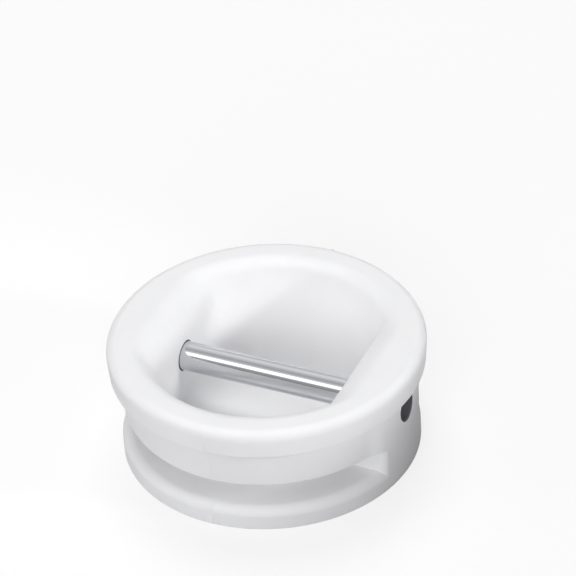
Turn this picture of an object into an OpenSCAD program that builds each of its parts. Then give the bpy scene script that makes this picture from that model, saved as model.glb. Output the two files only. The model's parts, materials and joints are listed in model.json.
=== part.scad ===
// Surfboard leash plug: a one-piece moulded cup with a steel pin pressed across it.
// The cup is let into a board up to the underside of its flange, and the leash string loops under the pin.
// Millimetres. The base rests on z = 0, +Z is up out of the board and +X runs along the pin.

/* [Flange] */
// Outside diameter of the flange that stays on top of the board
flange_diameter = 32; // [32:0.5:40]
// Draft for the mould: how much less the flange's radius is at its underside than at its widest
flange_draft = 0.15; // [0.05:0.01:0.3]
// Thickness of the flange from its underside to its top face
flange_thickness = 3.05; // [2.4:0.05:4]
// Rounding of the flange's upper outer edge
flange_top_round = 1; // [0.3:0.05:1.4]
// Rounding of the flange's lower outer edge
flange_under_round = 0.2; // [0.1:0.05:0.4]

/* [Band] */
// Height of the band below the flange, down to the locking slots
band_height = 4.45; // [4:0.05:5.5]
// Diameter of the band at its lower edge, where it has tapered in
band_lower_diameter = 29; // [28:0.1:29.2]

/* [Base] */
// Diameter of the base disc
base_diameter = 30.1; // [29.6:0.1:30.4]
// Thickness of the base disc
base_thickness = 2.45; // [2.2:0.05:3.2]
// Rounding of the base disc's upper outer edge
base_top_round = 1.1; // [0.2:0.05:1.4]
// Rounding of the base disc's lower outer edge
base_under_round = 0.1; // [0.1:0.05:0.6]

/* [Locking slots] */
// Height of the two open slots that the bedding resin flows into
slot_height = 2.7; // [2:0.1:3.5]
// Diameter of the round core left between the slots, around the bowl
core_diameter = 21.6; // [21.4:0.1:23]
// Width of the two columns that carry the pin, across the pin
column_width = 8.9; // [7:0.1:11]
// Rounding of the columns' vertical edges
column_round = 0.9; // [0.2:0.1:1.2]
// Draft for the mould: how much more the columns' radius is at the flange than at the base disc
column_draft = 0.05; // [0.05:0.01:0.15]

/* [Bowl] */
// Diameter of the bowl at the top face, before its lip is rounded
mouth_diameter = 25.3; // [24.5:0.1:25.6]
// Lean of the bowl's wall from upright, in degrees
wall_lean = 20.8; // [19:0.1:22]
// Rounding between the bowl's wall and its floor
bowl_round = 4.5; // [3.5:0.1:4.8]
// Rounding of the bowl's lip where its wall is round
lip_round = 1.6; // [0.8:0.1:1.8]
// Plastic left under the bowl's flat floor
floor_thickness = 1.9; // [1.6:0.1:2.2]

/* [Pin seats] */
// Distance between the two flat walls that face each other along the pin
flat_distance = 18.4; // [18:0.1:19.6]
// Rounding of the lip above each flat wall
flat_lip_round = 3.25; // [1:0.05:3.3]
// Depth of the pin's axis below the top face
pin_depth = 5; // [4.9:0.1:5.4]
// Diameter of the pin and of the hole that grips it
pin_diameter = 3; // [2:0.1:3.2]
// Length of the pin, a little less than the base's diameter
pin_length = 28; // [25:0.1:29]
// Chamfer on the pin's ends
pin_chamfer = 0.3; // [0.1:0.05:0.5]

/* [Hidden] */
$fn = 128;

white_plastic = "#f4f4f6";
polished_steel = "#b9bcc2";

flange_radius = flange_diameter / 2;
flange_lower_radius = flange_radius - flange_draft;
base_radius = base_diameter / 2;
column_top_radius = base_radius + column_draft;
pin_radius = pin_diameter / 2;
// The base disc's edge is an upright wall from its lower round up to here
base_edge_z = base_thickness - base_top_round;
slot_top = base_thickness + slot_height;
flange_under = slot_top + band_height;
total_height = flange_under + flange_thickness;
pin_z = total_height - pin_depth;
// A cut runs this far past the face that it opens
past = 1;

// The bowl's section: a leaning wall that a round joins to the flat floor
mouth_radius = mouth_diameter / 2;
wall_sine = sin(wall_lean);
wall_cosine = cos(wall_lean);
wall_slope = tan(wall_lean);
bowl_round_z = floor_thickness + bowl_round;
wall_foot_z = bowl_round_z - bowl_round * wall_sine;
wall_foot_r = mouth_radius - (total_height - wall_foot_z) * wall_slope;
bowl_round_r = wall_foot_r - bowl_round * wall_cosine;
// The lip's section: a round that meets the wall smoothly
lip_r = mouth_radius + lip_round * (1 - wall_sine) / wall_cosine;
// The lips' rounds meet the top face at a slight edge, so their centres stand this much higher
lip_rise = 0.04;
flat_lip_rise = 0.08;
lip_z = total_height - lip_round + lip_rise;

// What a round takes off a disc's outer edge, in section: side is 1 for an upper edge, -1 for a lower one
module edge_cut(radius, height, round, side) {
    translate([radius - round, height - side * round])
        rotate(side > 0 ? 0 : -90)
            difference() {
                square(round + past);
                circle(r = round);
            }
}

// The flange that stops the cup at the board's surface
module flange() {
    wall_top = total_height - flange_top_round;
    wall_foot = flange_under + flange_under_round;
    rotate_extrude()
        difference() {
            polygon([
                [0, flange_under],
                [flange_lower_radius, flange_under],
                [flange_lower_radius, wall_foot],
                [flange_radius, wall_top],
                [flange_radius, total_height],
                [0, total_height]
            ]);
            edge_cut(flange_radius, total_height, flange_top_round, 1);
            edge_cut(flange_lower_radius, flange_under, flange_under_round, -1);
        }
}

// The trunk below the flange before its sides are cut away: base, columns and band in one disc
module trunk() {
    wall_top = flange_under + flange_under_round;
    rotate_extrude()
        difference() {
            polygon([
                [0, 0],
                [base_radius, 0],
                [base_radius, base_edge_z],
                [column_top_radius, wall_top],
                [0, wall_top]
            ]);
            edge_cut(base_radius, 0, base_under_round, -1);
        }
}

// Outline of the two columns' flat sides and rounded edges, running on past the trunk's side
module column_outline() {
    side = column_width / 2;
    round_y = side - column_round;
    round_x = sqrt(pow(column_top_radius - column_round, 2) - pow(round_y, 2));
    reach = (column_top_radius + past) / (column_top_radius - column_round);
    translate([-round_x, -side])
        square([2 * round_x, column_width]);
    for (turn = [0, 180])
        rotate(turn) {
            polygon([
                [0, 0],
                [round_x * reach, round_y * reach],
                [round_x * reach, -round_y * reach]
            ]);
            for (s = [-1, 1])
                translate([round_x, s * round_y])
                    circle(r = column_round);
        }
}

// What is cut from the trunk's two sides: the slots, the base's rounded edge and the band's taper
module side_recesses() {
    band_r = band_lower_diameter / 2;
    core_r = core_diameter / 2;
    edge_r = base_radius - base_top_round;
    outer_r = column_top_radius + past;
    difference() {
        rotate_extrude()
            difference() {
                polygon([
                    [core_r, base_thickness],
                    [edge_r, base_thickness],
                    [edge_r, base_edge_z],
                    [outer_r, base_edge_z],
                    [outer_r, flange_under],
                    [base_radius, flange_under],
                    [band_r, slot_top],
                    [core_r, slot_top]
                ]);
                translate([edge_r, base_edge_z])
                    circle(r = base_top_round);
            }
        linear_extrude(height = flange_under + past)
            column_outline();
    }
}

// The bowl as a turned solid: floor, round, leaning wall and lip
module turned_bowl() {
    rotate_extrude()
        union() {
            polygon([
                [0, floor_thickness],
                [bowl_round_r, floor_thickness],
                [bowl_round_r, bowl_round_z],
                [wall_foot_r, wall_foot_z],
                [mouth_radius + past * wall_slope, total_height + past],
                [0, total_height + past]
            ]);
            intersection() {
                translate([bowl_round_r, bowl_round_z])
                    circle(r = bowl_round);
                square([flange_radius, total_height]);
            }
            difference() {
                polygon([
                    [lip_r - lip_round * wall_cosine, lip_z + lip_round * wall_sine],
                    [lip_r, lip_z],
                    [lip_r, total_height + past],
                    [mouth_radius - past, total_height + past]
                ]);
                translate([lip_r, lip_z])
                    circle(r = lip_round);
            }
        }
}

// The space between the flat walls at the pin's ends, opening out to their rounded lips
module between_flats() {
    lip_x = flat_distance / 2 + flat_lip_round;
    lip_y = total_height - flat_lip_round + flat_lip_rise;
    rotate([90, 0, 0])
        linear_extrude(height = flange_diameter, center = true) {
            translate([-flat_distance / 2, 0])
                square([flat_distance, total_height + 2 * past]);
            difference() {
                translate([-lip_x, lip_y])
                    square([2 * lip_x, flat_lip_round + 2 * past]);
                for (s = [-1, 1])
                    translate([s * lip_x, lip_y])
                        circle(r = flat_lip_round);
            }
        }
}

// The hole that runs through both columns and grips the pin
module pin_hole() {
    translate([0, 0, pin_z])
        rotate([0, 90, 0])
            cylinder(h = flange_diameter, r = pin_radius, center = true);
}

// The moulded cup, in one piece
module cup() {
    color(white_plastic)
        difference() {
            union() {
                flange();
                difference() {
                    trunk();
                    side_recesses();
                }
            }
            intersection() {
                turned_bowl();
                between_flats();
            }
            pin_hole();
        }
}

// The steel pin across the bowl, gripped by both columns and set back from their faces
module cross_pin() {
    shoulder = pin_length / 2 - pin_chamfer;
    color(polished_steel)
        translate([0, 0, pin_z])
            rotate([0, 90, 0])
                union() {
                    cylinder(h = 2 * shoulder, r = pin_radius, center = true);
                    for (turn = [0, 180])
                        rotate([turn, 0, 0])
                            translate([0, 0, shoulder])
                                cylinder(h = pin_chamfer, r1 = pin_radius, r2 = pin_radius - pin_chamfer);
                }
}

cup();
cross_pin();
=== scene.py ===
"""Surfboard leash plug: a white moulded cup with a polished steel pin across its bowl, in a pale studio."""

import json
import logging
import math
from dataclasses import dataclass, field
from enum import Enum, IntEnum
from typing import ClassVar, Sequence

import bmesh
import bpy
from mathutils import Matrix, Vector

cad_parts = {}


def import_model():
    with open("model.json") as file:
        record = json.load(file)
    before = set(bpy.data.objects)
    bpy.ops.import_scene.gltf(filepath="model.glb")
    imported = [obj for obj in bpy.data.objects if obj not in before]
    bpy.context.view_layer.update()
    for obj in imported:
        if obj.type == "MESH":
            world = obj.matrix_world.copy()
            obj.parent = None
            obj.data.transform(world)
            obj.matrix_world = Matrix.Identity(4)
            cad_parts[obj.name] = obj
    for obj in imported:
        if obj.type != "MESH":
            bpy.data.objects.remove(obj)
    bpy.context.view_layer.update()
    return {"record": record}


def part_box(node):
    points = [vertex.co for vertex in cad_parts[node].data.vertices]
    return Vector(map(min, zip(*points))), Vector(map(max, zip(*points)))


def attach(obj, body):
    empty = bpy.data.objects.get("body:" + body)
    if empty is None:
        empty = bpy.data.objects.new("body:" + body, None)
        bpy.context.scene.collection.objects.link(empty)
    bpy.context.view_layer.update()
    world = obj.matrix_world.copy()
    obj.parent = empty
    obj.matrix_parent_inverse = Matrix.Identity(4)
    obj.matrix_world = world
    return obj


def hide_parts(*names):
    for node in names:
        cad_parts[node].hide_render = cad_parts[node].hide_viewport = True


LOG = logging.getLogger("leash_plug")
MM = 0.001
# A hair's breadth in millimetres: how near a point must lie to a surface to count as being on it
HAIR = 0.01
Point = tuple[float, float]
Inputs = dict[str | int, object]
Socket = bpy.types.NodeSocket


# ---------------------------------------------------------------- small helpers


def colour(hex_code: str) -> tuple[float, float, float, float]:
    """Turns an sRGB hex colour into the linear colour that shaders use.

    Args:
        hex_code: six hex digits, with or without a leading #.

    Returns:
        Linear red, green, blue and an alpha of 1.
    """
    digits = hex_code.lstrip("#")
    channels = [int(digits[i : i + 2], 16) / 255 for i in (0, 2, 4)]
    linear = [c / 12.92 if c <= 0.04045 else ((c + 0.055) / 1.055) ** 2.4 for c in channels]
    return (linear[0], linear[1], linear[2], 1.0)


def add_node(tree: bpy.types.NodeTree, kind: str, inputs: Inputs, **settings: object) -> bpy.types.Node:
    """Adds a node, sets its settings and fills or links its inputs.

    Args:
        tree: the node tree that gets the node.
        kind: the node's Blender type.
        inputs: socket name or number to a value, or to another node's output socket.
        settings: the node's own attributes.

    Returns:
        The new node.
    """
    node = tree.nodes.new(kind)
    for name, value in settings.items():
        setattr(node, name, value)
    for key, value in inputs.items():
        if isinstance(value, Socket):
            tree.links.new(value, node.inputs[key])
        else:
            node.inputs[key].default_value = value
    return node


def mixed_shader(tree: bpy.types.NodeTree, share: Socket | float, first: Socket, second: Socket) -> Socket:
    """Mixes two surfaces or backgrounds.

    Args:
        tree: the node tree.
        share: a number or a socket, 0 for the first and 1 for the second.
        first: the first one's output socket.
        second: the second one's output socket.

    Returns:
        The mixed output socket.
    """
    return add_node(tree, "ShaderNodeMixShader", {0: share, 1: first, 2: second}).outputs[0]


def mixed_colour(tree: bpy.types.NodeTree, share: Socket, first: str, second: str) -> Socket:
    """Mixes two sRGB hex colours, 0 for the first and 1 for the second."""
    inputs = {0: share, 6: colour(first), 7: colour(second)}
    return add_node(tree, "ShaderNodeMix", inputs, data_type="RGBA").outputs[2]


def larger(tree: bpy.types.NodeTree, first: Socket, second: Socket) -> Socket:
    """Gives the larger of two sockets' values."""
    return add_node(tree, "ShaderNodeMath", {0: first, 1: second}, operation="MAXIMUM").outputs[0]


def smooth_step(x: float, start: float, end: float) -> float:
    """Rises smoothly from 0 at start to 1 at end."""
    t = min(max((x - start) / (end - start), 0.0), 1.0)
    return t * t * (3 - 2 * t)


def soft_min(a: float, b: float, width: float) -> float:
    """The smaller of a and b, rounded off where they are within width of each other."""
    overlap = max(width - abs(a - b), 0.0) / width
    return min(a, b) - overlap * overlap * width / 4


def arc(centre: Point, radius: float, start_deg: float, end_deg: float, steps: int) -> list[Point]:
    """Points along a circular arc in a section, both ends included.

    Args:
        centre: the arc's centre.
        radius: its radius.
        start_deg: the angle of its first point, from the first axis.
        end_deg: the angle of its last point.
        steps: how many stretches it has.

    Returns:
        steps + 1 points.
    """
    angles = [math.radians(start_deg + (end_deg - start_deg) * i / steps) for i in range(steps + 1)]
    return [(centre[0] + radius * math.cos(a), centre[1] + radius * math.sin(a)) for a in angles]


def line(start: Point, end: Point, steps: int) -> list[Point]:
    """Points along a straight stretch of a section, without its two ends."""
    shares = [i / steps for i in range(1, steps)]
    return [(start[0] + (end[0] - start[0]) * t, start[1] + (end[1] - start[1]) * t) for t in shares]


# ---------------------------------------------------------------- mesh making


def turned(section: Sequence[Point], segments: int, closed: bool) -> bmesh.types.BMesh:
    """Spins a section round the Z axis.

    Args:
        section: radius and height of each point, in millimetres.
        segments: how many steps go round.
        closed: whether the last point joins the first, as in a ring's section.

    Returns:
        A closed mesh in metres, its faces outwards.
    """
    bm = bmesh.new()
    verts = [bm.verts.new((r * MM, 0.0, z * MM)) for r, z in section]
    ends = verts[1:] + verts[:1] if closed else verts[1:]
    edges = [bm.edges.new(pair) for pair in zip(verts, ends)]
    bmesh.ops.spin(
        bm,
        geom=verts + edges,
        axis=(0, 0, 1),
        cent=(0, 0, 0),
        angle=2 * math.pi,
        steps=segments,
        use_merge=True,
    )
    bmesh.ops.remove_doubles(bm, verts=bm.verts, dist=1e-8)
    bmesh.ops.dissolve_degenerate(bm, edges=bm.edges, dist=1e-9)
    bmesh.ops.recalc_face_normals(bm, faces=bm.faces)
    return bm


def stacked(levels: Sequence[tuple[float, Sequence[Point]]]) -> bmesh.types.BMesh:
    """Joins outlines of the same number of points, each at its height, into one solid.

    Args:
        levels: the height of each outline and its points in order, in millimetres, from the bottom up.

    Returns:
        A closed mesh in metres, its faces outwards.
    """
    bm = bmesh.new()
    loops = []
    for height, outline in levels:
        verts = [bm.verts.new((x * MM, y * MM, height * MM)) for x, y in outline]
        loops.append([bm.edges.new(pair) for pair in zip(verts, verts[1:] + verts[:1])])
    for lower, upper in zip(loops, loops[1:]):
        bmesh.ops.bridge_loops(bm, edges=lower + upper)
    for end in (loops[0], loops[-1]):
        bmesh.ops.contextual_create(bm, geom=end)
    bmesh.ops.recalc_face_normals(bm, faces=bm.faces)
    return bm


def lay_along_x(bm: bmesh.types.BMesh, height: float = 0.0) -> None:
    """Turns a mesh made along Z so that it lies along X, at a height in millimetres."""
    bmesh.ops.rotate(bm, verts=bm.verts, cent=(0, 0, 0), matrix=Matrix.Rotation(math.pi / 2, 3, "Y"))
    bmesh.ops.translate(bm, verts=bm.verts, vec=(0, 0, height * MM))


def as_object(bm: bmesh.types.BMesh, name: str) -> bpy.types.Object:
    """Makes an object of a mesh and frees the bmesh."""
    mesh = bpy.data.meshes.new(name)
    bm.to_mesh(mesh)
    bm.free()
    made = bpy.data.objects.new(name, mesh)
    bpy.context.scene.collection.objects.link(made)
    return made


class Join(Enum):
    """The ways to combine two solids."""

    CUT = "DIFFERENCE"
    ADD = "UNION"


def combine(target: bpy.types.Object, tool: bpy.types.Object, how: Join) -> None:
    """Cuts the tool out of the target's mesh, or adds it, and discards the tool."""
    modifier = target.modifiers.new("combine", "BOOLEAN")
    modifier.operation = how.value
    modifier.solver = "MANIFOLD"
    modifier.object = tool
    graph = bpy.context.evaluated_depsgraph_get()
    joined = bpy.data.meshes.new_from_object(target.evaluated_get(graph))
    target.modifiers.remove(modifier)
    spent = target.data
    target.data = joined
    bpy.data.meshes.remove(spent)
    bpy.data.meshes.remove(tool.data)


def soften(made: bpy.types.Object, sharp_deg: float) -> None:
    """Merges stray points and shades smoothly, except across edges sharper than sharp_deg.

    Args:
        made: the object whose mesh is finished.
        sharp_deg: the face angle from which an edge stays crisp.
    """
    bm = bmesh.new()
    bm.from_mesh(made.data)
    bmesh.ops.remove_doubles(bm, verts=bm.verts, dist=1e-7)
    bmesh.ops.dissolve_degenerate(bm, edges=bm.edges, dist=1e-7)
    for face in bm.faces:
        face.smooth = True
    for edge in bm.edges:
        edge.smooth = edge.calc_face_angle(0.0) < math.radians(sharp_deg)
    bm.to_mesh(made.data)
    bm.free()
    weighted = made.modifiers.new("weighted normals", "WEIGHTED_NORMAL")
    weighted.mode = "FACE_AREA"
    weighted.weight = 50
    weighted.keep_sharp = True


# ---------------------------------------------------------------- finishes


class Slot(Enum):
    """The record's material slots."""

    PLASTIC = "white_moulded_plastic"
    STEEL = "polished_stainless_steel"


class Layer(IntEnum):
    """Which of a piece's two finishes a face wears. The second is the pin's sawn end on the pin, and
    painted shade on the hole's wall in the cup.
    """

    SKIN = 0
    SAWN_END_AND_HOLE_SHADE = 1


@dataclass(frozen=True)
class Finish:
    """What a surface looks like from the way it was made, except the hole's wall, which carries painted
    shade. Pattern sizes are in millimetres.
    """

    name: ClassVar[str]

    def inputs(self, tree: bpy.types.NodeTree, place: Socket) -> Inputs:
        """The surface shader's own inputs.

        Args:
            tree: the material's node tree, for the nodes that the inputs need.
            place: the object coordinates' socket.

        Returns:
            Socket names to values or output sockets.
        """
        raise NotImplementedError

    def material(self) -> bpy.types.Material:
        """Builds the node material.

        Returns:
            The finished material.
        """
        made = bpy.data.materials.new(self.name)
        made.use_nodes = True
        tree = made.node_tree
        tree.nodes.clear()
        place = add_node(tree, "ShaderNodeTexCoord", {}).outputs["Object"]
        shader = add_node(tree, "ShaderNodeBsdfPrincipled", self.inputs(tree, place))
        add_node(tree, "ShaderNodeOutputMaterial", {"Surface": shader.outputs[0]})
        return made

    @staticmethod
    def pattern(tree: bpy.types.NodeTree, place: Socket, size_mm: float, detail: float = 2.0) -> Socket:
        """A noise pattern whose features are about size_mm across."""
        inputs = {"Vector": place, "Scale": 1 / (size_mm * MM), "Detail": detail}
        return add_node(tree, "ShaderNodeTexNoise", inputs).outputs[0]

    @staticmethod
    def stretched(tree: bpy.types.NodeTree, place: Socket, scale: tuple[float, float, float]) -> Socket:
        """Coordinates for a pattern that is drawn out along the axes with a small scale."""
        return add_node(tree, "ShaderNodeMapping", {"Vector": place, "Scale": scale}).outputs[0]

    @staticmethod
    def drift(tree: bpy.types.NodeTree, pattern: Socket, low: float, high: float) -> Socket:
        """A value that wanders between low and high with the pattern."""
        inputs = {"Value": pattern, "To Min": low, "To Max": high}
        return add_node(tree, "ShaderNodeMapRange", inputs).outputs[0]

    @staticmethod
    def relief(tree: bpy.types.NodeTree, pattern: Socket, strength: float, depth_mm: float) -> Socket:
        """The slight relief that a pattern gives to the surface."""
        inputs = {"Height": pattern, "Strength": strength, "Distance": depth_mm * MM}
        return add_node(tree, "ShaderNodeBump", inputs).outputs[0]


@dataclass(frozen=True)
class MouldedPlastic(Finish):
    """White ABS, injection moulded: an even satin skin with a faint unevenness from the mould's polish."""

    name: ClassVar[str] = "abs_injection_moulded_white"
    base: str = "#f3f3f4"
    shade: str = "#efeff1"
    roughness_low: float = 0.48
    roughness_high: float = 0.58
    ior: float = 1.47
    ripple_mm: float = 3.0
    grain_mm: float = 0.12
    grain_depth_mm: float = 0.01
    grain_strength: float = 0.06

    def inputs(self, tree: bpy.types.NodeTree, place: Socket) -> Inputs:
        """The shader's inputs for the moulded skin."""
        # Slow colour and gloss drift, as where the melt met the mould at different heat
        ripple = self.pattern(tree, place, self.ripple_mm)
        # The mould's fine spark-eroded grain
        grain = self.pattern(tree, place, self.grain_mm, detail=3.0)
        return {
            "Base Color": mixed_colour(tree, ripple, self.base, self.shade),
            "Roughness": self.drift(tree, ripple, self.roughness_low, self.roughness_high),
            "IOR": self.ior,
            "Normal": self.relief(tree, grain, self.grain_strength, self.grain_depth_mm),
        }


@dataclass(frozen=True)
class HoleShadePlastic(Finish):
    """The same ABS inside the pin's hole, painted dark grey as painted shade for the deep hole: a dark eye.
    """

    name: ClassVar[str] = "abs_painted_hole_shade"
    base: str = "#55555a"
    shade: str = "#626268"
    roughness: float = 0.45
    ior: float = 1.5
    streak_mm: float = 0.4

    def inputs(self, tree: bpy.types.NodeTree, place: Socket) -> Inputs:
        """The shader's inputs for the hole's wall, whose dark grey is painted shade."""
        # The painted shade is streaked, long along X and fine across it
        streaks = self.pattern(tree, self.stretched(tree, place, (0.1, 1.0, 1.0)), self.streak_mm)
        return {
            "Base Color": mixed_colour(tree, streaks, self.base, self.shade),
            "Roughness": self.roughness,
            "IOR": self.ior,
        }


@dataclass(frozen=True)
class PolishedSteel(Finish):
    """Stainless rod, centreless ground and polished: a bright mirror with the wheel's hair-fine rings."""

    name: ClassVar[str] = "stainless_rod_polished"
    base: str = "#d4d5d8"
    roughness_low: float = 0.04
    roughness_high: float = 0.12
    ring_mm: float = 0.08
    ring_depth_mm: float = 0.005
    ring_strength: float = 0.05

    def inputs(self, tree: bpy.types.NodeTree, place: Socket) -> Inputs:
        """The shader's inputs for the polished rod."""
        # Grinding rings run round the rod, so the pattern is fine along X and stretched across it
        rings = self.pattern(tree, self.stretched(tree, place, (1.0, 0.04, 0.04)), self.ring_mm)
        return {
            "Base Color": colour(self.base),
            "Metallic": 1.0,
            "Roughness": self.drift(tree, rings, self.roughness_low, self.roughness_high),
            "Normal": self.relief(tree, rings, self.ring_strength, self.ring_depth_mm),
        }


@dataclass(frozen=True)
class SawnSteel(Finish):
    """The rod's ends as the saw left them: matt and pale, so they catch the light down in the hole."""

    name: ClassVar[str] = "stainless_rod_sawn_end"
    base: str = "#f0f0f2"
    metallic: float = 0.5
    roughness: float = 0.6
    cut_mm: float = 0.1
    cut_depth_mm: float = 0.02
    cut_strength: float = 0.3

    def inputs(self, tree: bpy.types.NodeTree, place: Socket) -> Inputs:
        """The shader's inputs for the sawn end."""
        # The saw's lines run across the end, along Y
        lines = self.pattern(tree, self.stretched(tree, place, (1.0, 0.05, 1.0)), self.cut_mm)
        return {
            "Base Color": colour(self.base),
            "Metallic": self.metallic,
            "Roughness": self.roughness,
            "Normal": self.relief(tree, lines, self.cut_strength, self.cut_depth_mm),
        }


# ---------------------------------------------------------------- the plug


class Side(IntEnum):
    """The plug's front and back, by the sign of Y."""

    FRONT = -1
    BACK = 1


@dataclass(frozen=True)
class Flash:
    """A nub of plastic squeezed out of the mould's joint: its height on the plug, half length and rise."""

    centre: float
    half: float
    rise: float


# The seam's section: shares of its half width and of its rise, with both feet sunk in the wall
SEAM_SECTION = ((-1.0, -0.4), (-0.45, 0.8), (0.0, 1.0), (0.45, 0.8), (1.0, -0.4))


@dataclass
class MouldedCup:
    """The one-piece moulding: flange, tapered band, columns, base, core and bowl. Sizes in millimetres."""

    height: float
    flange_r: float
    trunk_r: float
    pin_r: float
    pin_z: float
    segments: int = 288
    flange_lower_r: float = 15.85
    flange_thickness: float = 3.05
    flange_top_round: float = 1.0
    flange_under_round: float = 0.2
    flange_fillet: float = 0.15
    band_lower_r: float = 14.5
    band_edge_round: float = 0.14
    base_thickness: float = 2.45
    base_top_round: float = 1.1
    base_under_round: float = 0.1
    slot_height: float = 2.7
    slot_corner: float = 0.5
    core_r: float = 10.8
    column_half: float = 4.45
    column_round: float = 0.9
    mouth_r: float = 12.65
    wall_lean_deg: float = 20.8
    bowl_round: float = 4.5
    lip_round: float = 1.6
    floor_thickness: float = 1.9
    flat_x: float = 9.2
    flat_lip_round: float = 3.25
    corner_softness: float = 0.6
    hole_break: float = 0.12
    hole_segments: int = 72
    seam_x: float = 0.3
    seam_half: float = 0.17
    seam_rise: float = 0.035
    seam_step: float = 0.12
    seam_root: float = 0.5
    sharp_deg: float = 38.0
    # The band's inward step starts this far beside the columns, and is whole this far across the pin
    column_margin: float = 0.1
    column_blend: float = 6.4
    # Where the step eases in on the wall that is cut away: above the base and below the slots' ceiling
    ease_above: float = 0.6
    ease_below: float = 0.5
    # How far the cutting tools run past the faces that they open
    cut_past: float = 1.2
    column_past: float = 3.0
    hole_past: float = 1.0
    # The side cutter's band edge lies at least this far out from the core
    core_margin: float = 1.0
    # Height at which what stays between the side cuts starts, inside the base
    keep_foot: float = 0.5
    # A face whose normal runs along the pin by more than this is no part of the hole's wall
    seat_facing: float = 0.85
    finish: MouldedPlastic = field(default_factory=MouldedPlastic)
    # The hole's wall wears painted shade: a dark grey where the deep hole lies in shadow
    hole_shade_finish: HoleShadePlastic = field(default_factory=HoleShadePlastic)

    @property
    def slot_top(self) -> float:
        """Height of the slots' ceiling."""
        return self.base_thickness + self.slot_height

    @property
    def flange_under(self) -> float:
        """Height of the flange's underside."""
        return self.height - self.flange_thickness

    def outer_section(self) -> list[Point]:
        """Section of the outside, from the middle of the underside up and round to the top face."""
        r, z = self.trunk_r, self.flange_under
        low, fillet = self.base_under_round, self.flange_fillet
        edge, top = self.flange_under_round, self.flange_top_round
        foot = arc((r - low, low), low, -90, 0, steps=6)
        neck = arc((r + fillet, z - fillet), fillet, 180, 90, steps=6)
        under = arc((self.flange_lower_r - edge, z + edge), edge, -90, 0, steps=5)
        crown = arc((self.flange_r - top, self.height - top), top, 0, 90, steps=16)
        return [
            (0.0, 0.0),
            (r * 0.5, 0.0),
            *foot,
            *line(foot[-1], neck[0], steps=26),
            *neck,
            *under,
            *line(under[-1], crown[0], steps=4),
            *crown,
        ]

    def bowl_section(self) -> list[Point]:
        """Section of the bowl, from the top face over the lip and down the wall to the floor's middle."""
        lean = math.radians(self.wall_lean_deg)
        sine, cosine = math.sin(lean), math.cos(lean)
        lip_r = self.mouth_r + self.lip_round * (1 - sine) / cosine
        lip_centre = (lip_r, self.height - self.lip_round)
        lip = arc(lip_centre, self.lip_round, 90, 180 - self.wall_lean_deg, steps=20)
        round_z = self.floor_thickness + self.bowl_round
        foot_z = round_z - self.bowl_round * sine
        foot_r = self.mouth_r - (self.height - foot_z) * math.tan(lean)
        round_r = foot_r - self.bowl_round * cosine
        foot = arc((round_r, round_z), self.bowl_round, -self.wall_lean_deg, -90, steps=18)
        floor = [(round_r * share, self.floor_thickness) for share in (0.75, 0.5, 0.25, 0.0)]
        return [*lip, *line(lip[-1], foot[0], steps=24), *foot, *floor]

    def flat_reach(self, z: float) -> float:
        """Half the distance between the flat walls at a height, which widens over their rounded lips."""
        drop = self.height - z
        if drop >= self.flat_lip_round:
            return self.flat_x
        rise = self.flat_lip_round - drop
        return self.flat_x + self.flat_lip_round - math.sqrt(max(self.flat_lip_round**2 - rise**2, 0.0))

    def band_pull(self, y: float, z: float) -> float:
        """How far the band lies inside the trunk's radius at a place on it.

        Args:
            y: distance across the pin.
            z: height.

        Returns:
            The inward step: none at the columns and the flange, most at the band's lower edge.
        """
        top = self.flange_under - self.flange_fillet
        full = self.trunk_r - self.band_lower_r
        if z >= self.slot_top:
            share = min(max((top - z) / (top - self.slot_top), 0.0), 1.0)
        else:
            # Between base and band the wall is cut away later, so here the step only has to ease in
            share = smooth_step(z, self.base_thickness + self.ease_above, self.slot_top - self.ease_below)
        return full * share * smooth_step(abs(y), self.column_half + self.column_margin, self.column_blend)

    def shape_bowl(self, bm: bmesh.types.BMesh) -> None:
        """Presses the turned bowl's two ends against the flat walls and lets the band taper in."""
        inner_r = self.mouth_r + self.lip_round
        for vert in bm.verts:
            x, y, z = (c / MM for c in vert.co)
            r = math.hypot(x, y)
            if r < inner_r and z > self.floor_thickness - HAIR:
                pressed = soft_min(abs(x), self.flat_reach(z), self.corner_softness)
                on_middle = abs(x) <= 1e-6
                vert.co.x = vert.co.x if on_middle else math.copysign(pressed, x) * MM
            elif abs(r - self.trunk_r) < HAIR and self.base_thickness < z < self.flange_under:
                shrink = (r - self.band_pull(y, z)) / r
                vert.co.x *= shrink
                vert.co.y *= shrink

    def column_outline(self, swell: float) -> list[Point]:
        """Outline of what stays between the two side cuts: both columns, with rounded vertical edges.

        Args:
            swell: how far the outline stands outside the columns' sides.

        Returns:
            The outline's points in order, anticlockwise from above.
        """
        round_y = self.column_half - self.column_round
        # The rounds run out a hair past the trunk's wall, so that the cut crosses it cleanly
        centre_r = self.trunk_r - self.column_round + HAIR
        round_x = math.sqrt(centre_r**2 - round_y**2)
        turn = math.degrees(math.atan2(round_y, round_x))
        far = (self.trunk_r + self.column_past) / centre_r
        corner = arc((round_x, round_y), self.column_round + swell, turn, 90, steps=10)
        quarter = [(round_x * far, round_y * far), *corner]
        right = [(x, -y) for x, y in reversed(quarter)] + quarter
        return right + [(-x, -y) for x, y in right]

    def side_cutter(self) -> bpy.types.Object:
        """The tool that cuts both slots, with the base's rounded edge and the band's crisp one."""
        out_r = self.trunk_r + self.cut_past
        base_round = self.base_top_round
        edge = self.band_edge_round
        round_z = self.base_thickness - base_round
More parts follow.
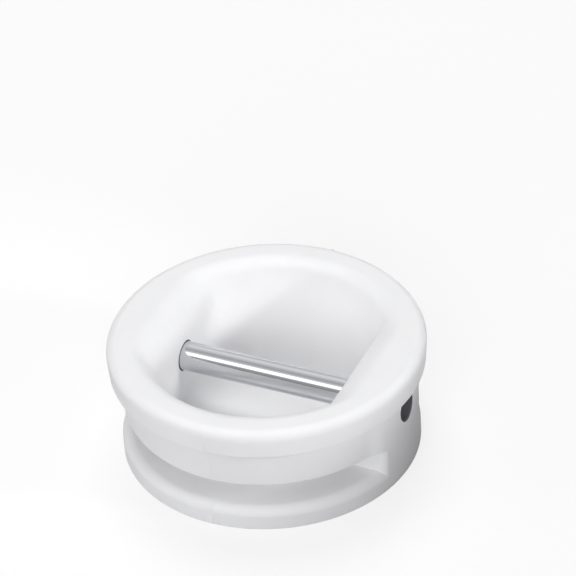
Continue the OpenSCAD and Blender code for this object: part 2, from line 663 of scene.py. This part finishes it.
        # Both rounds stand a hair or two out of the wall that they cut, so that no sliver is left on it
        low = arc((self.trunk_r - base_round + 2 * HAIR, round_z), base_round, 0, 90, steps=16)
        high = arc((self.band_lower_r - edge + HAIR, self.slot_top + edge), edge, -90, 0, steps=4)
        section = [(out_r, round_z), *low, (self.core_r, self.base_thickness)]
        section += [(self.core_r, self.slot_top), *high, (out_r, self.slot_top + edge)]
        bm = turned(section, self.segments, closed=True)
        for vert in bm.verts:
            x, y, z = (c / MM for c in vert.co)
            r = math.hypot(x, y)
            on_band = self.core_r + self.core_margin < r < out_r - HAIR
            if z > self.slot_top - HAIR and on_band:
                full = self.trunk_r - self.band_lower_r
                wall_y = y * (self.trunk_r / r)
                grow = (r + full - self.band_pull(wall_y, self.slot_top)) / r
                vert.co.x *= grow
                vert.co.y *= grow
        cutter = as_object(bm, "side_cutter")
        # Each column widens in a small round where it meets the slots' ceiling
        corner, start = self.slot_corner, self.slot_top - self.slot_corner
        turns = [math.radians(a) for a in range(0, 91, 10)]
        round_levels = [(start + corner * math.sin(t), corner * (1 - math.cos(t))) for t in turns]
        levels = [(self.keep_foot, 0.0), *round_levels, (self.flange_under, corner)]
        keep = stacked([(z, self.column_outline(swell)) for z, swell in levels])
        combine(cutter, as_object(keep, "column_keep"), Join.CUT)
        return cutter

    def wall_r(self, z: float) -> float:
        """Radius of the outside at a height, at the middle of the sides that are cut."""
        base_round, crown = self.base_top_round, self.flange_top_round
        edge_z = self.base_thickness - base_round
        if z < self.base_thickness:
            rise = min(max(z - edge_z, 0.0), base_round)
            return self.trunk_r - base_round + math.sqrt(base_round**2 - rise**2)
        if z < self.flange_under:
            return self.trunk_r - self.band_pull(self.trunk_r, z)
        lean = (z - self.flange_under) / (self.flange_thickness - crown)
        rise = min(max(z - (self.height - crown), 0.0), crown)
        outer = self.flange_lower_r + (self.flange_r - self.flange_lower_r) * min(lean, 1.0)
        return outer - crown + math.sqrt(crown**2 - rise**2)

    def seam_height(self, side: Side, z: float) -> float:
        """How far the parting line stands out at a height: uneven, with a nub of flash on each side."""
        long_wave = 0.25 * math.sin(7.3 * z + side)
        short_wave = 0.25 * math.sin(17.9 * z - 2 * side)
        uneven = 0.5 + long_wave + short_wave
        flash = Flash(0.7, 0.55, 0.14) if side is Side.FRONT else Flash(self.height - 0.75, 0.45, 0.3)
        nub = 1 - smooth_step(abs(z - flash.centre), flash.half * 0.4, flash.half)
        return self.seam_rise * (0.6 + 0.8 * uneven) + flash.rise * nub

    def seam(self, side: Side, low: float, high: float) -> bpy.types.Object:
        """One stretch of the raised line that the mould's two halves leave where they meet.

        Args:
            side: which side of the plug it runs up.
            low: height of its foot.
            high: height of its upper end.

        Returns:
            A thin plate that stands a little out of the wall, to be added to the cup.
        """
        steps = max(round((high - low) / self.seam_step), 2)
        heights = [low + (high - low) * i / steps for i in range(steps + 1)]
        layers = []
        for x, share in SEAM_SECTION:
            face = [(z, self.wall_r(z) + share * self.seam_height(side, z)) for z in heights]
            back = [(z, r - self.seam_root) for z, r in reversed(face)]
            layers.append((self.seam_x + x * self.seam_half, [(-z, r) for z, r in face + back]))
        bm = stacked(layers)
        lay_along_x(bm)
        if side is Side.FRONT:
            bmesh.ops.scale(bm, verts=bm.verts, vec=(1, -1, 1))
            bmesh.ops.recalc_face_normals(bm, faces=bm.faces)
        return as_object(bm, "seam")

    def hole_cutter(self) -> bpy.types.Object:
        """The tool that cuts the pin's hole through both columns and breaks its edges."""
        outer, brk = self.trunk_r, self.hole_break
        wide = self.pin_r + brk
        half = [
            (wide, self.flat_x),
            (self.pin_r, self.flat_x + brk),
            (self.pin_r, outer - brk),
            (wide, outer),
            (wide, outer + self.hole_past),
            (0.0, outer + self.hole_past),
        ]
        section = [(r, -x) for r, x in reversed(half)] + half
        bm = turned(section, self.hole_segments, closed=False)
        lay_along_x(bm, self.pin_z)
        return as_object(bm, "hole_cutter")

    def in_seat(self, face: bpy.types.MeshPolygon) -> bool:
        """Whether a face belongs to the wall of the pin's hole, not to a wall that the hole opens in."""
        x, y, z = (c / MM for c in face.center)
        within = abs(x) > self.flat_x and math.hypot(y, z - self.pin_z) < self.pin_r + self.hole_break
        return within and abs(face.normal.x) < self.seat_facing

    def build(self) -> bpy.types.Object:
        """Builds and dresses the cup.

        Returns:
            The cup's object, riding on the root body.
        """
        bm = turned(self.outer_section() + self.bowl_section(), self.segments, closed=False)
        self.shape_bowl(bm)
        cup = as_object(bm, "cup_moulding")
        combine(cup, self.side_cutter(), Join.CUT)
        combine(cup, self.hole_cutter(), Join.CUT)
        # The seam runs up the base's edge, skips the slot and goes on up the band and the flange
        base_run = (0.06, self.base_thickness - 0.2)
        upper_run = (self.slot_top + 0.1, self.height - 0.25)
        for side in Side:
            for low, high in (base_run, upper_run):
                combine(cup, self.seam(side, low, high), Join.ADD)
        soften(cup, self.sharp_deg)
        cup.data.materials.clear()
        cup.data.materials.append(self.finish.material())
        cup.data.materials.append(self.hole_shade_finish.material())
        # The hole's wall and the breaks at its edges are painted dark grey as painted shade
        for face in cup.data.polygons:
            if self.in_seat(face):
                face.material_index = Layer.SAWN_END_AND_HOLE_SHADE
        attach(cup, "root")
        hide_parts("cup")
        return cup


@dataclass
class CrossPin:
    """The polished rod pressed through both columns. Sizes in millimetres."""

    radius: float
    length: float
    axis_z: float
    end_round: float = 0.3
    segments: int = 96
    sharp_deg: float = 50.0
    # A face whose normal runs along the pin by more than this belongs to its end
    end_facing: float = 0.9
    finish: PolishedSteel = field(default_factory=PolishedSteel)
    end_finish: SawnSteel = field(default_factory=SawnSteel)

    def build(self) -> bpy.types.Object:
        """Builds and dresses the pin.

        Returns:
            The pin's object, riding on the root body.
        """
        half, brk = self.length / 2, self.end_round
        tail = arc((self.radius - brk, -half + brk), brk, -90, 0, steps=6)
        nose = arc((self.radius - brk, half - brk), brk, 0, 90, steps=6)
        bm = turned([(0.0, -half), *tail, *nose, (0.0, half)], self.segments, closed=False)
        lay_along_x(bm, self.axis_z)
        pin = as_object(bm, "cross_pin_polished")
        soften(pin, self.sharp_deg)
        pin.data.materials.append(self.finish.material())
        pin.data.materials.append(self.end_finish.material())
        for face in pin.data.polygons:
            if abs(face.normal.x) > self.end_facing:
                face.material_index = Layer.SAWN_END_AND_HOLE_SHADE
        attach(pin, "root")
        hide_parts("cross_pin")
        return pin


# ---------------------------------------------------------------- the studio


@dataclass(frozen=True)
class Softbox:
    """A lamp that faces the plug. Its azimuth counts from the camera's, positive to the right."""

    name: str
    azimuth_deg: float
    elevation_deg: float
    width: float
    height: float
    watts: float
    distance: float = 0.9
    spread_deg: float = 180.0
    mirrored: bool = False


SOFTBOXES = (
    Softbox("front_softbox", -11, 24, 0.65, 0.5, 4.5),
    Softbox("front_high_softbox", -20, 60, 0.5, 0.4, 1.15),
    Softbox("back_softbox", 180, 64, 0.5, 0.5, 4.5),
    Softbox("left_softbox", -84, 19, 0.4, 0.4, 1.6),
    # A snooted strip that clears the floor: it reaches the flange and the bowl's far wall but not the foot
    Softbox(
        "right_edge_strip", 69, 20, 0.06, 0.019, 0.00125, distance=0.08, spread_deg=10.0, mirrored=True
    ),
)

# The brightest of the room's shades, which the world's colour ramp counts as 1
BRIGHTEST_SHADE = 2.0
# How bright the room looks in the steel, by the share of the way from its front to its back:
# a strip light high in front, mid grey overhead and a paler wall at the back
ROOM_SHADES = (
    (0.05, 0.3),
    (0.12, 0.45),
    (0.165, 0.5),
    (0.185, 2.0),
    (0.315, 2.0),
    (0.34, 0.9),
    (0.4, 0.72),
    (0.48, 0.5),
    (0.58, 0.58),
    (0.69, 0.8),
    (0.79, 1.0),
    (0.88, 0.78),
    (0.95, 0.6),
    (1.0, 0.8),
)


@dataclass
class Studio:
    """Pale floor, soft lamps and the camera."""

    target: Vector
    azimuth_deg: float = 26.4
    elevation_deg: float = 37.17
    roll_deg: float = 3.88
    distance: float = 0.428
    aim_right: float = 2.513 * MM
    aim_up: float = 4.489 * MM
    lens: float = 268.9
    sensor_width: float = 36.0
    near: float = 0.01
    far: float = 50.0
    floor_reach: float = 3.0
    floor_grey: str = "#b6b6b8"
    floor_lift: float = 0.75
    room_light: float = 0.03

    def direction(self, azimuth: float, elevation: float) -> Vector:
        """Unit vector from the plug towards a place at an azimuth and elevation in degrees."""
        a, e = math.radians(azimuth), math.radians(elevation)
        return Vector((math.sin(a) * math.cos(e), -math.cos(a) * math.cos(e), math.sin(e)))

    def camera(self) -> None:
        """Adds the camera and makes it the scene's."""
        data = bpy.data.cameras.new("camera")
        data.lens, data.sensor_width = self.lens, self.sensor_width
        data.clip_start, data.clip_end = self.near, self.far
        made = bpy.data.objects.new("camera", data)
        bpy.context.scene.collection.objects.link(made)
        back = self.direction(self.azimuth_deg, self.elevation_deg)
        azimuth = math.radians(self.azimuth_deg)
        right = Vector((math.cos(azimuth), math.sin(azimuth), 0))
        up = back.cross(right)
        place = self.target + back * self.distance
        aim = self.target + right * self.aim_right + up * self.aim_up
        back = (place - aim).normalized()
        right = (right - back * right.dot(back)).normalized()
        up = back.cross(right)
        roll = math.radians(self.roll_deg)
        rolled_right = right * math.cos(roll) - up * math.sin(roll)
        rolled_up = right * math.sin(roll) + up * math.cos(roll)
        turn = Matrix((rolled_right, rolled_up, back)).transposed()
        made.matrix_world = Matrix.Translation(place) @ turn.to_4x4()
        bpy.context.scene.camera = made

    def lamp(self, softbox: Softbox) -> None:
        """Adds a soft rectangular lamp that points at the plug."""
        data = bpy.data.lights.new(softbox.name, "AREA")
        data.shape = "RECTANGLE"
        data.size, data.size_y = softbox.width, softbox.height
        data.energy = softbox.watts
        data.spread = math.radians(softbox.spread_deg)
        made = bpy.data.objects.new(softbox.name, data)
        bpy.context.scene.collection.objects.link(made)
        made.visible_camera = False
        made.visible_glossy = softbox.mirrored
        back = self.direction(self.azimuth_deg + softbox.azimuth_deg, softbox.elevation_deg)
        turn = back.to_track_quat("Z", "Y").to_matrix().to_4x4()
        made.matrix_world = Matrix.Translation(self.target + back * softbox.distance) @ turn

    def floor(self) -> None:
        """Adds the floor: near white to the eye, greyer to the light that it would throw back up."""
        bm = bmesh.new()
        bmesh.ops.create_grid(bm, x_segments=8, y_segments=8, size=self.floor_reach)
        floor = as_object(bm, "floor")
        made = bpy.data.materials.new("floor_paper_white")
        made.use_nodes = True
        tree = made.node_tree
        tree.nodes.clear()
        path = add_node(tree, "ShaderNodeLightPath", {}).outputs
        eye = path["Is Camera Ray"]
        seen = larger(tree, eye, larger(tree, path["Is Glossy Ray"], path["Is Transmission Ray"]))
        tone = mixed_colour(tree, seen, self.floor_grey, "#ffffff")
        matt = add_node(tree, "ShaderNodeBsdfDiffuse", {"Color": tone}).outputs[0]
        white = {"Color": colour("#ffffff"), "Strength": eye}
        glow = add_node(tree, "ShaderNodeEmission", white).outputs[0]
        # To the eye the paper is lifted part of the way to plain white, so the plug's shadow stays soft
        paper = mixed_shader(tree, eye, matt, mixed_shader(tree, self.floor_lift, matt, glow))
        # From below the floor is clear, so that the plug's underside can be seen through it
        below = add_node(tree, "ShaderNodeNewGeometry", {}).outputs["Backfacing"]
        clear = add_node(tree, "ShaderNodeBsdfTransparent", {}).outputs[0]
        surface = mixed_shader(tree, below, paper, clear)
        add_node(tree, "ShaderNodeOutputMaterial", {"Surface": surface})
        floor.data.materials.append(made)

    def room_shade(self, tree: bpy.types.NodeTree) -> Socket:
        """The room's shades along Y, front to back, as shares of the brightest.

        Args:
            tree: the world's node tree.

        Returns:
            The colour's output socket.
        """
        direction = add_node(tree, "ShaderNodeTexCoord", {}).outputs["Generated"]
        along = add_node(tree, "ShaderNodeSeparateXYZ", {"Vector": direction}).outputs["Y"]
        inputs = {"Value": along, "From Min": -1.0, "From Max": 1.0}
        share = add_node(tree, "ShaderNodeMapRange", inputs).outputs[0]
        shade = add_node(tree, "ShaderNodeValToRGB", {"Fac": share})
        stops = shade.color_ramp.elements
        stops.remove(stops[1])
        stops[0].position = ROOM_SHADES[0][0]
        for place, _ in ROOM_SHADES[1:]:
            stops.new(place)
        for stop, (_, level) in zip(stops, ROOM_SHADES):
            part = level / BRIGHTEST_SHADE
            stop.color = (part, part, part, 1)
        return shade.outputs[0]

    def world(self) -> None:
        """The room: dim in the light it sheds, white behind the plug, shaded where the steel mirrors it."""
        world = bpy.data.worlds.new("studio_room")
        bpy.context.scene.world = world
        world.use_nodes = True
        tree = world.node_tree
        tree.nodes.clear()
        path = add_node(tree, "ShaderNodeLightPath", {}).outputs
        seen = larger(tree, path["Is Camera Ray"], path["Is Transmission Ray"])
        backgrounds = (
            (colour("#ffffff"), self.room_light),
            (self.room_shade(tree), BRIGHTEST_SHADE),
            (colour("#ffffff"), 1.0),
        )
        dim, mirror, white = (
            add_node(tree, "ShaderNodeBackground", {"Color": tint, "Strength": strength}).outputs[0]
            for tint, strength in backgrounds
        )
        lit = mixed_shader(tree, path["Is Glossy Ray"], dim, mirror)
        add_node(tree, "ShaderNodeOutputWorld", {"Surface": mixed_shader(tree, seen, lit, white)})

    def build(self) -> None:
        """Sets up the whole studio."""
        self.camera()
        self.floor()
        self.world()
        for softbox in SOFTBOXES:
            self.lamp(softbox)
        bpy.context.scene.view_settings.view_transform = "Standard"


def main() -> None:
    """Loads the frame, builds the plug round it and sets up the studio."""
    logging.basicConfig(level=logging.INFO, format="%(name)s: %(message)s")
    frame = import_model()
    _, cup_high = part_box("cup")
    pin_low, pin_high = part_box("cross_pin")
    mounts = {m["name"]: m for m in frame["record"]["mounts"]}
    pin_z = (pin_low.z + pin_high.z) / 2 / MM
    pin_r = mounts["leash_loop"]["dims"]["r_mm"]
    cup = MouldedCup(
        height=cup_high.z / MM,
        flange_r=cup_high.x / MM,
        trunk_r=mounts["trunk_wall"]["dims"]["r_mm"],
        pin_r=pin_r,
        pin_z=pin_z,
    )
    pin = CrossPin(radius=pin_r, length=(pin_high.x - pin_low.x) / MM, axis_z=pin_z)
    for piece in (cup.build(), pin.build()):
        LOG.info("%s: %d faces", piece.name, len(piece.data.polygons))
    Studio(target=Vector((0.0, 0.0, cup_high.z))).build()


if __name__ == "__main__":
    main()
